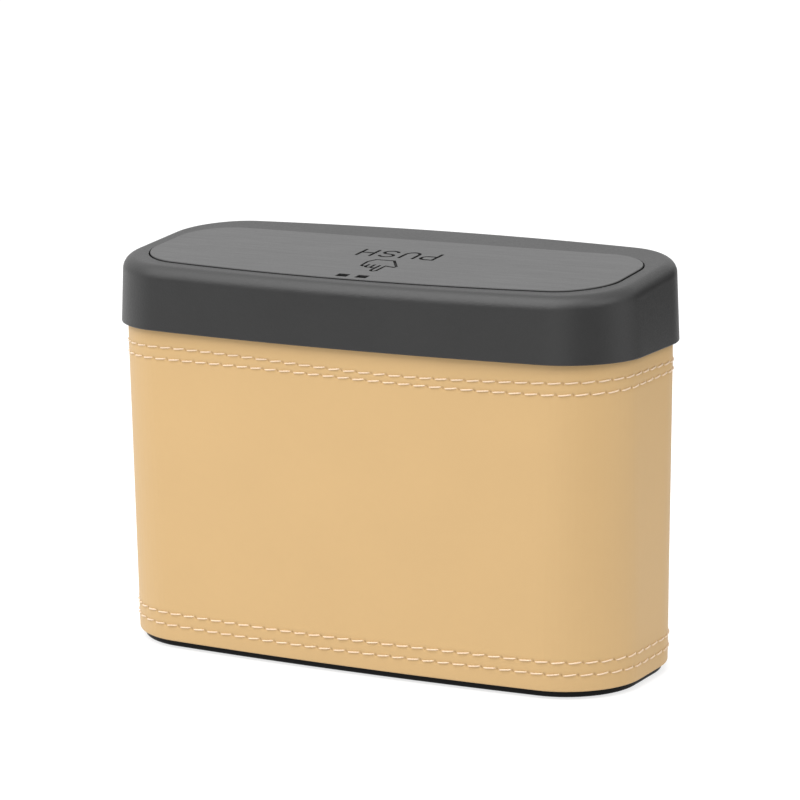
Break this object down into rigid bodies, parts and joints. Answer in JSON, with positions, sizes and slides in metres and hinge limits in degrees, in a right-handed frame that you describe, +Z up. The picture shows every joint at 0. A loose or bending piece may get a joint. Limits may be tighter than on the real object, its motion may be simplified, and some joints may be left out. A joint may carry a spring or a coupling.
{
  "type": "car trash bin",
  "caption": "Small lidded waste bin for a car: leather-wrapped bucket with a push-open sprung flap in a lift-off cap.",
  "frame": {"origin": "on the floor under the middle of the bin, at the bottom centre of its box", "axes": "+Z up, +X along the bin's long side to the right, -Y to the front where the latch is, +Y to the rear where the hinge is"},
  "size_m": [0.21, 0.0908, 0.1516],
  "materials": {
    "bucket_plastic": "moulded matt black",
    "sleeve_leather": "fine-grained tan artificial leather",
    "sleeve_thread": "waxed cream sewing thread",
    "base_plastic": "moulded matt black",
    "screw_steel": "zinc plated",
    "foot_rubber": "matt",
    "ring_plastic": "moulded matt black",
    "cap_plastic": "satin fine-textured charcoal",
    "rod_steel": "drawn bright steel",
    "spring_steel": "bright spring wire",
    "latch_plastic": "moulded black",
    "flap_plastic": "satin fine-textured charcoal",
    "plunger_plastic": "natural white slippery plastic"
  },
  "bodies": {
    "bin": {"bucket": "bucket_plastic", "leather_sleeve": "sleeve_leather", "base_tray": "base_plastic", "base_screws": "screw_steel", "foot_front_left": "foot_rubber", "foot_front_right": "foot_rubber", "foot_rear_left": "foot_rubber", "foot_rear_right": "foot_rubber", "bag_ring": "ring_plastic"},
    "cap": {"lid_frame": "cap_plastic", "hinge_rod": "rod_steel", "rod_clips": "rod_steel", "torsion_spring_left": "spring_steel", "torsion_spring_right": "spring_steel", "latch_housing": "latch_plastic", "latch_cover": "latch_plastic", "latch_screws": "screw_steel", "latch_spring": "spring_steel", "latch_pin": "rod_steel"},
    "lid": {"flap": "flap_plastic"},
    "plunger": {"latch_plunger": "plunger_plastic"}
  },
  "joints": [
    {"name": "cap_lift", "type": "slide", "parent": "bin", "child": "cap", "axis": [0, 0, 1], "range_m": [0, 0.06]},
    {"name": "flap_hinge", "type": "hinge", "parent": "cap", "child": "lid", "pos_m": [0, 0.0294, 0.14548], "axis": [-1, 0, 0], "range_deg": [0, 80]},
    {"name": "latch_slide", "type": "slide", "parent": "cap", "child": "plunger", "axis": [0, 0, 1], "range_m": [0, 0.0045], "deforming": ["latch_spring"]}
  ],
  "couplings": [
    {"joint": "latch_slide", "follows": "flap_hinge", "m_per_rad": 0.00322}
  ]
}
